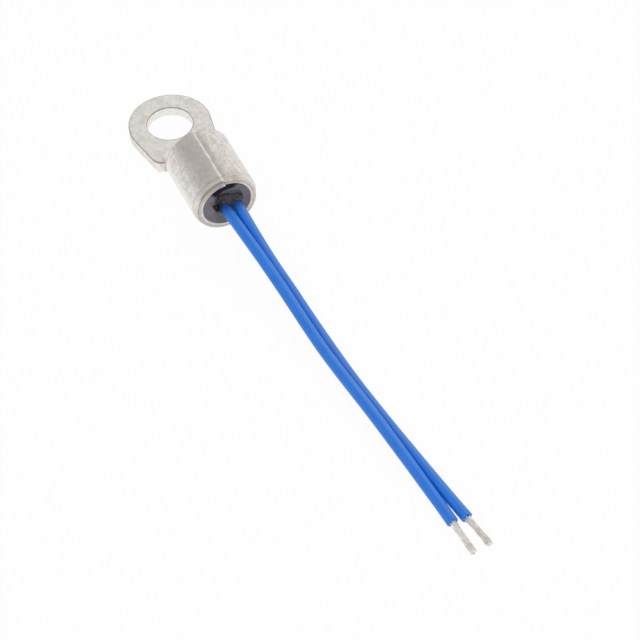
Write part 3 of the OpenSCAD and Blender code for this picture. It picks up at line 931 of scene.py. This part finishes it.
def hollow_resin(bm, lug, mouth):
    """Hollows the face at the mouth, steeply under the barrel's top, and draws it up the bead."""
    axis = lug.barrel_width / 2
    brim = RESIN_HIGH.y
    bottom = RESIN_HIGH.x - mouth.dish
    drawn = bm.verts.layers.float.new("painted_crescent")
    for vert in bm.verts:
        x, y, z = vert.co
        if x < RESIN_HIGH.x - 0.01 * MM:
            continue
        depth = brim - math.hypot(y, z - axis)
        turn = math.atan2(y, z - axis)
        reach = at_turn(RESIN_SLOPES, turn) * MM
        steep = mouth.wall_slope * min(depth, reach) * smooth((brim - depth) / (1.2 * MM))
        # Painted shade: marks the crescent under the barrel's top, which the resin's finish paints
        # black
        vert[drawn] = smooth((reach - depth) / (0.05 * MM) + 0.5) * (reach > 0)
        hollow = max(0.0, 1 - depth / brim) ** at_turn(RESIN_BOWL, turn)
        vert.co.x = bottom + mouth.dish * hollow - steep
        inside = smooth(depth / (0.2 * MM))
        climb = math.exp(-bead_distance(y, z) / mouth.bead_reach)
        vert.co.x += mouth.bead_climb * climb * inside
        vert.co.x += mouth.ripple * noise.noise(vert.co * 900.0) * inside


class THERMISTOR_OT_potting(Operator):
    """Spin the resin's section round the barrel and draw it up the wall and the bead"""
    bl_idname = "thermistor.potting"
    bl_label = "Potting resin"

    def execute(self, context):
        bm = bmesh.new()
        spin_resin(bm, context.scene.lug_sizes, context.scene.mouth_sizes)
        hollow_resin(bm, context.scene.lug_sizes, context.scene.mouth_sizes)
        finish_piece(bm, "potting_resin", resin_finish(context.scene.finishes),
                     "potting_resin", "potting")
        return {"FINISHED"}


def shape_coating(bm, mouth, leads):
    """Squares a ball to the bead's box, slopes its top down to lead b and roughens it."""
    bmesh.ops.create_icosphere(bm, subdivisions=6, radius=1.0)
    for vert in bm.verts:
        size = sum(abs(c) ** BEAD_SQUARE for c in vert.co) ** (1 / BEAD_SQUARE)
        vert.co = Vector(c / size * h for c, h in zip(vert.co, BEAD_HALF)) + BEAD_MIDDLE
        across = 0.5 + 0.5 * (vert.co.y - BEAD_MIDDLE.y) / BEAD_HALF.y
        above = max(0.0, vert.co.z - BEAD_MIDDLE.z) / BEAD_HALF.z
        fall = max(0.0, 1.3 * across - 0.3) + 0.75 * smooth(4 * across - 3)
        vert.co.z -= mouth.collar_fall * fall * above
        vert.co.y += mouth.collar_lean * smooth(2 * across - 1)
        lump = noise.fractal(vert.co * 1900.0, 1.0, 2.0, 3)
        out = (vert.co - BEAD_MIDDLE).normalized()
        near = min(math.hypot(vert.co.y - y, vert.co.z - z) for y, z in LEAD_CENTRES)
        creep = math.exp(-((near / leads.lead * 2 - 1.15) / 0.28) ** 2)
        at_face = smooth((vert.co.x - BEAD_HIGH.x + 0.3 * MM) / (0.3 * MM))
        vert.co += out * mouth.rough * lump
        vert.co.x += at_face * (mouth.creep * creep + 0.06 * MM * lump
                                - mouth.collar_slant * (1 - across))


def add_bubbles(bm, mouth):
    draw = random.Random(11)
    for i in range(mouth.bubbles):
        turn = math.radians(draw.uniform(*BUBBLE_TURNS))
        size = mouth.bubble * draw.uniform(0.3, 1.0)
        behind = draw.uniform(*BUBBLE_DEPTHS)
        wide = BEAD_HALF.y + draw.uniform(*BUBBLE_SPREAD)
        high = BEAD_HALF.z + draw.uniform(*BUBBLE_SPREAD)
        place = Vector((BEAD_HIGH.x - behind, BEAD_MIDDLE.y + wide * math.cos(turn),
                        BEAD_MIDDLE.z + high * math.sin(turn)))
        bmesh.ops.create_icosphere(bm, subdivisions=3, radius=size,
                                   matrix=Matrix.Translation(place))


def add_drop(bm, middle_y, drop):
    """A long drop of coating that lies along the leads."""
    ahead, aside, above, long, thick = (size * MM for size in drop)
    place = Vector((BEAD_HIGH.x + ahead, middle_y + aside, LEAD_UP + above))
    matrix = Matrix.LocRotScale(place, None, Vector((long, thick, thick)))
    ball = bmesh.ops.create_icosphere(bm, subdivisions=4, radius=1.0, matrix=matrix)["verts"]
    for vert in ball:
        vert.co += vert.normal * 0.05 * MM * noise.noise(vert.co * 2600.0)


class THERMISTOR_OT_bead(Operator):
    """Shape the bead's coating as a lumpy bar with bubbles beside it"""
    bl_idname = "thermistor.bead"
    bl_label = "Bead coating"

    def execute(self, context):
        mouth = context.scene.mouth_sizes
        y_a, y_b = (y for y, z in LEAD_CENTRES)
        bm = bmesh.new()
        shape_coating(bm, mouth, context.scene.lead_sizes)
        add_bubbles(bm, mouth)
        add_drop(bm, (y_a + y_b) / 2, MIDDLE_DROP)
        for drop in DROPS_BESIDE_A:
            add_drop(bm, y_a, drop)
        finish_piece(bm, "bead_collar", coating_finish(context.scene.finishes),
                     "coating_resin", "bead_coating")
        return {"FINISHED"}


# Leads

LEAD_SIDES = 28
CORE_SIDES = 16
STRAND_SIDES = 14
STRAND_STEPS = 56
FILL_SIDES = 24
FILL_STEPS = 40
# Faces that meet at more than this are the lips of the insulation's ends
LIP = math.radians(50)


def smooth_route(points, step):
    """Points on the curve through the given ones, about a step apart."""
    ends = [2 * points[0] - points[1], *points, 2 * points[-1] - points[-2]]
    route = []
    for before, start, end, after in zip(ends, ends[1:], ends[2:], ends[3:]):
        count = max(1, round((end - start).length / step))
        for i in range(count):
            t = i / count
            route.append(0.5 * (2 * start + (end - before) * t
                                + (2 * before - 5 * start + 4 * end - after) * t * t
                                + (3 * start - before - 3 * end + after) * t ** 3))
    return route + [points[-1]]


def frames_along(route):
    """A frame at each point of a route, with Z ahead, turning no more than the route does."""
    last = len(route) - 1
    frames = []
    turn = before = None
    for i, point in enumerate(route):
        ahead = (route[min(i + 1, last)] - route[max(i - 1, 0)]).normalized()
        if turn is None:
            turn = ahead.to_track_quat("Z", "Y")
        else:
            turn = before.rotation_difference(ahead) @ turn
        before = ahead
        frames.append(Matrix.LocRotScale(point, turn, None))
    return frames


def sweep(bm, frames, radius, sides, lengths, straight):
    """Carries a ring along the frames, stores the laid straight place, and gives its two ends."""
    ring = bmesh.ops.create_circle(bm, cap_ends=False, segments=sides, radius=radius)["verts"]
    edges = list({e for v in ring for e in v.link_edges})
    first = edges
    for v in ring:
        v[straight] = (v.co.x, v.co.y, lengths[0])
    bmesh.ops.transform(bm, matrix=frames[0], verts=ring)
    for i in range(1, len(frames)):
        grown = bmesh.ops.extrude_edge_only(bm, edges=edges)
        verts = verts_of(grown)
        fresh = set(verts)
        edges = [g for g in grown["geom"] if isinstance(g, bmesh.types.BMEdge)
                 and g.verts[0] in fresh and g.verts[1] in fresh]
        bmesh.ops.transform(bm, matrix=frames[i] @ frames[i - 1].inverted(), verts=verts)
        back = frames[i].inverted()
        for v in verts:
            local = back @ v.co
            v[straight] = (local.x, local.y, lengths[i])
    return first, edges


def run_lengths(route):
    lengths = [0.0]
    for a, b in zip(route, route[1:]):
        lengths.append(lengths[-1] + (b - a).length)
    return lengths


def lead_points(side, sizes):
    """The lead's own points in metres: held in the bead, at its exit, and along its free length."""
    y, z = LEAD_CENTRES[side]
    free = [Vector(p) * MM for p in (FREE_A, FREE_B)[side]]
    return [Vector((BEAD_HIGH.x - sizes.held, y, z)), Vector((BEAD_HIGH.x, y, z))] + free


class THERMISTOR_OT_leads(Operator):
    """Lay the two blue leads as hollow tubes of their real length"""
    bl_idname = "thermistor.leads"
    bl_label = "Blue leads"

    def execute(self, context):
        sizes = context.scene.lead_sizes
        material = insulation_finish(context.scene.finishes, sizes)
        for side, letter in enumerate("ab"):
            route = smooth_route(lead_points(side, sizes), 0.35 * MM)
            frames = frames_along(route)
            bm = bmesh.new()
            straight = bm.verts.layers.float_vector.new("laid_straight")
            rims = [sweep(bm, frames, radius, LEAD_SIDES, run_lengths(route), straight)
                    for radius in (sizes.lead / 2, sizes.conductor / 2 + sizes.clearance)]
            for outer, inner in zip(*rims):
                bmesh.ops.bridge_loops(bm, edges=outer + inner)
            bmesh.ops.recalc_face_normals(bm, faces=bm.faces)
            lip = [e for e in bm.edges if e.calc_face_angle(0.0) > LIP]
            bmesh.ops.bevel(bm, geom=lip, offset=0.03 * MM, offset_type="OFFSET", segments=3,
                            profile=0.5, affect="EDGES", material=-1)
            ragged_end(bm, frames[-1], sizes.lead, side)
            lead = finish_piece(bm, f"blue_lead_{letter}", material, "blue_insulation",
                                f"lead_insulation_{letter}")
        return {"FINISHED"}


def ragged_end(bm, end, diameter, seed):
    """Pulls the cut end about, as a blade and a strip tool leave it."""
    reach = 0.5 * diameter
    back = end.inverted()
    shift = Vector((17.0 * seed, 3.0, 5.0))
    for vert in bm.verts:
        local = back @ vert.co
        if local.z < -reach:
            continue
        near = smooth(1 + local.z / reach)
        flare = 1 + 0.012 * near
        local.x *= flare
        local.y *= flare
        local.z += 0.10 * diameter * near * noise.noise(local * 1800.0 + shift)
        vert.co = end @ local


def lay_core(bm, side, letter, sizes, straight):
    """The solid core inside the insulation, from its solder joint to the bare end."""
    joint_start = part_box(f"solder_joint_{letter}")[0].x + 0.15 * MM
    points = lead_points(side, sizes)
    points.insert(0, Vector((joint_start, points[0].y, points[0].z)))
    route = smooth_route(points, 0.5 * MM)
    rims = sweep(bm, frames_along(route), sizes.conductor / 2 - 0.01 * MM, CORE_SIDES,
                 run_lengths(route), straight)
    for rim in rims:
        bmesh.ops.contextual_create(bm, geom=rim)


def lay_strand(bm, which, side, start, ahead, draw, sizes, straight):
    """One strand of a bare end: the first is straight and six more are laid round it."""
    radius = sizes.conductor / 6
    bare = (sizes.bare_a, sizes.bare_b)[side]
    over = bare + draw.uniform(-0.07, 0.05) * MM
    swing = draw.uniform(0, 6.28)
    route = [start + ahead * (over * i / STRAND_STEPS - sizes.tucked * (1 - i / STRAND_STEPS))
             for i in range(STRAND_STEPS + 1)]
    lengths = run_lengths(route)
    frames = []
    for i, (place, far) in enumerate(zip(frames_along(route), lengths)):
        share = i / STRAND_STEPS
        lay = which * math.pi / 3 - 2 * math.pi * far / sizes.lay
        # The strands open a little towards the end and wander on their way
        from_core = 2 * radius * (1 + 0.10 * smooth((share - 0.75) / 0.25)) if which else 0.0
        from_core += 0.012 * MM * math.sin(9 * share + swing)
        lump = 1.04 + 0.10 * noise.noise(Vector((far * 2500.0, which * 7.0, side)))
        frames.append(place @ Matrix.Rotation(lay, 4, "Z")
                      @ Matrix.Translation((from_core, 0.0, 0.0)) @ Matrix.Scale(lump, 4))
    for rim in sweep(bm, frames, radius, STRAND_SIDES, lengths, straight):
        bmesh.ops.contextual_create(bm, geom=rim)
        bmesh.ops.bevel(bm, geom=rim, offset=0.02 * MM, offset_type="OFFSET", segments=2,
                        profile=0.5, affect="EDGES", material=-1)


def fill_strands(bm, side, start, ahead, sizes, straight):
    """The tin that fills between the strands."""
    bare = (sizes.bare_a, sizes.bare_b)[side]
    route = [start + ahead * (bare - 0.05 * MM) * i / FILL_STEPS for i in range(FILL_STEPS + 1)]
    radius = sizes.tin_reach * sizes.conductor / 6
    for rim in sweep(bm, frames_along(route), radius, FILL_SIDES, run_lengths(route), straight):
        bmesh.ops.contextual_create(bm, geom=rim)


class THERMISTOR_OT_tips(Operator):
    """Lay seven tinned strands together at each bare end, over the core that runs to the chip"""
    bl_idname = "thermistor.tips"
    bl_label = "Stranded tips"

    def execute(self, context):
        sizes = context.scene.lead_sizes
        material = strand_finish(context.scene.finishes)
        draw = random.Random(5)
        for side, letter in enumerate("ab"):
            before, start = lead_points(side, sizes)[-2:]
            ahead = (start - before).normalized()
            bm = bmesh.new()
            straight = bm.verts.layers.float_vector.new("laid_straight")
            lay_core(bm, side, letter, sizes, straight)
            for which in range(7):
                lay_strand(bm, which, side, start, ahead, draw, sizes, straight)
            fill_strands(bm, side, start, ahead, sizes, straight)
            bmesh.ops.recalc_face_normals(bm, faces=bm.faces)
            finish_piece(bm, f"stranded_tip_{letter}", material, "tinned_strand",
                         f"conductor_{letter}")
        return {"FINISHED"}


class THERMISTOR_OT_inner_parts(Operator):
    """Give the chip, its electrodes and its solder joints their own finishes"""
    bl_idname = "thermistor.inner_parts"
    bl_label = "Chip and joints"

    def execute(self, context):
        tones = context.scene.finishes
        oxide = inner_finish("sintered_oxide", tones.oxide, 0.0, 0.55, 9000.0)
        silver = inner_finish("fired_silver", tones.silver, 1.0, 0.38, 14000.0)
        solder = inner_finish("solder", tones.solder, 1.0, 0.3, 7000.0)
        for name, material in (("ntc_chip", oxide), ("electrode_a", silver),
                               ("electrode_b", silver), ("solder_joint_a", solder),
                               ("solder_joint_b", solder)):
            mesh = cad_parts[name].data
            mesh.materials.clear()
            mesh.materials.append(material)
        return {"FINISHED"}


# Studio

def floor_finish(studio):
    """White paper: the camera and reflections see it as plain white with the object's shadow."""
    material = bpy.data.materials.new("white_paper")
    material.use_nodes = True
    tree = material.node_tree
    tree.nodes.clear()
    fibre = put(tree, "ShaderNodeTexNoise", {"Vector": object_place(tree)}, Scale=900.0, Detail=3.0)
    shade = blend(tree, fibre.outputs[0], (0.88, 0.88, 0.88), (0.92, 0.92, 0.92))
    paper = put(tree, "ShaderNodeBsdfDiffuse", {"Color": shade})
    white = put(tree, "ShaderNodeEmission", Strength=1.0)
    rays = tree.nodes.new("ShaderNodeLightPath").outputs
    mirrored = maths(tree, "MAXIMUM", rays["Is Glossy Ray"], rays["Is Transmission Ray"])
    seen = maths(tree, "MAXIMUM", rays["Is Camera Ray"], mirrored)
    share = times(tree, seen, studio.white)
    lit = put(tree, "ShaderNodeMixShader", {0: share, 1: paper.outputs[0], 2: white.outputs[0]})
    clear = tree.nodes.new("ShaderNodeBsdfTransparent")
    below = tree.nodes.new("ShaderNodeNewGeometry").outputs["Backfacing"]
    both = put(tree, "ShaderNodeMixShader", {0: below, 1: lit.outputs[0], 2: clear.outputs[0]})
    put(tree, "ShaderNodeOutputMaterial", {"Surface": both.outputs[0]})
    return material


def towards(bearing, height):
    """The direction with a bearing from the leads' direction and an angle above the floor."""
    return Vector((math.cos(bearing) * math.cos(height), math.sin(bearing) * math.cos(height),
                   math.sin(height)))


def lay_floor(studio, aim):
    bm = bmesh.new()
    bmesh.ops.create_grid(bm, x_segments=1, y_segments=1, size=studio.floor / 2,
                          matrix=Matrix.Translation(aim))
    mesh = bpy.data.meshes.new("paper_floor")
    bm.to_mesh(mesh)
    bm.free()
    mesh.materials.append(floor_finish(studio))
    floor = bpy.data.objects.new("paper_floor", mesh)
    bpy.context.scene.collection.objects.link(floor)


def grey_room(radiance):
    world = bpy.data.worlds.new("grey_room")
    world.use_nodes = True
    room = world.node_tree.nodes["Background"]
    room.inputs["Color"].default_value = (1.0, 1.0, 1.0, 1.0)
    room.inputs["Strength"].default_value = radiance
    bpy.context.scene.world = world


def soft_box(name, back, distance, side, radiance, aim):
    """A square lamp of a given radiance that faces the aim from so far away."""
    lamp = bpy.data.lights.new(name, "AREA")
    lamp.size = side
    lamp.energy = radiance * math.pi * side * side
    box = bpy.data.objects.new(name, lamp)
    box.location = aim + back * distance
    box.rotation_euler = back.to_track_quat("Z", "Y").to_euler()
    bpy.context.scene.collection.objects.link(box)


def set_camera(studio, aim):
    back = towards(studio.bearing, studio.height)
    camera = bpy.data.objects.new("camera", bpy.data.cameras.new("camera"))
    camera.data.lens = studio.lens
    camera.data.clip_start = 0.01
    camera.data.clip_end = 10.0
    camera.location = aim + back * studio.distance
    level = back.to_track_quat("Z", "Y").to_matrix()
    camera.rotation_euler = (level @ Matrix.Rotation(studio.roll, 3, "Z")).to_euler()
    bpy.context.scene.collection.objects.link(camera)
    bpy.context.scene.camera = camera


class THERMISTOR_OT_studio(Operator):
    """Set up the white paper, the soft lamps and the camera"""
    bl_idname = "thermistor.studio"
    bl_label = "Studio"

    def execute(self, context):
        studio = context.scene.studio
        aim = Vector((studio.aim_x, studio.aim_y, 0.0))
        lay_floor(studio, aim)
        grey_room(studio.room)
        soft_box("key_light", towards(studio.key_bearing, studio.key_height),
                 studio.key_distance, studio.key_side, studio.key, aim)
        soft_box("fill_light", towards(studio.fill_bearing, studio.fill_height),
                 studio.fill_distance, studio.fill_side, studio.fill, aim)
        set_camera(studio, aim)
        context.scene.view_settings.view_transform = "Standard"
        return {"FINISHED"}


class THERMISTOR_PT_panel(Panel):
    """Steps that build the thermistor"""
    bl_label = "Ring Lug Thermistor"
    bl_idname = "THERMISTOR_PT_panel"
    bl_space_type = "VIEW_3D"
    bl_region_type = "UI"
    bl_category = "Thermistor"

    def draw(self, context):
        for operator in OPERATORS:
            self.layout.operator(operator.bl_idname)


OPERATORS = (THERMISTOR_OT_ring_lug, THERMISTOR_OT_potting, THERMISTOR_OT_bead,
             THERMISTOR_OT_tips, THERMISTOR_OT_leads, THERMISTOR_OT_inner_parts,
             THERMISTOR_OT_studio)
GROUPS = {"lug_sizes": LugSizes, "mouth_sizes": MouthSizes, "lead_sizes": LeadSizes,
          "finishes": Finishes, "studio": StudioSizes}


def register():
    for name, group in GROUPS.items():
        bpy.utils.register_class(group)
        setattr(bpy.types.Scene, name, PointerProperty(type=group))
    for item in OPERATORS + (THERMISTOR_PT_panel,):
        bpy.utils.register_class(item)


def unregister():
    for item in OPERATORS + (THERMISTOR_PT_panel,):
        bpy.utils.unregister_class(item)
    for name, group in GROUPS.items():
        delattr(bpy.types.Scene, name)
        bpy.utils.unregister_class(group)


def main():
    register()
    bpy.ops.thermistor.ring_lug()
    bpy.ops.thermistor.potting()
    bpy.ops.thermistor.bead()
    bpy.ops.thermistor.tips()
    bpy.ops.thermistor.leads()
    bpy.ops.thermistor.inner_parts()
    bpy.ops.thermistor.studio()
    bpy.context.view_layer.update()


if __name__ == "__main__":
    main()
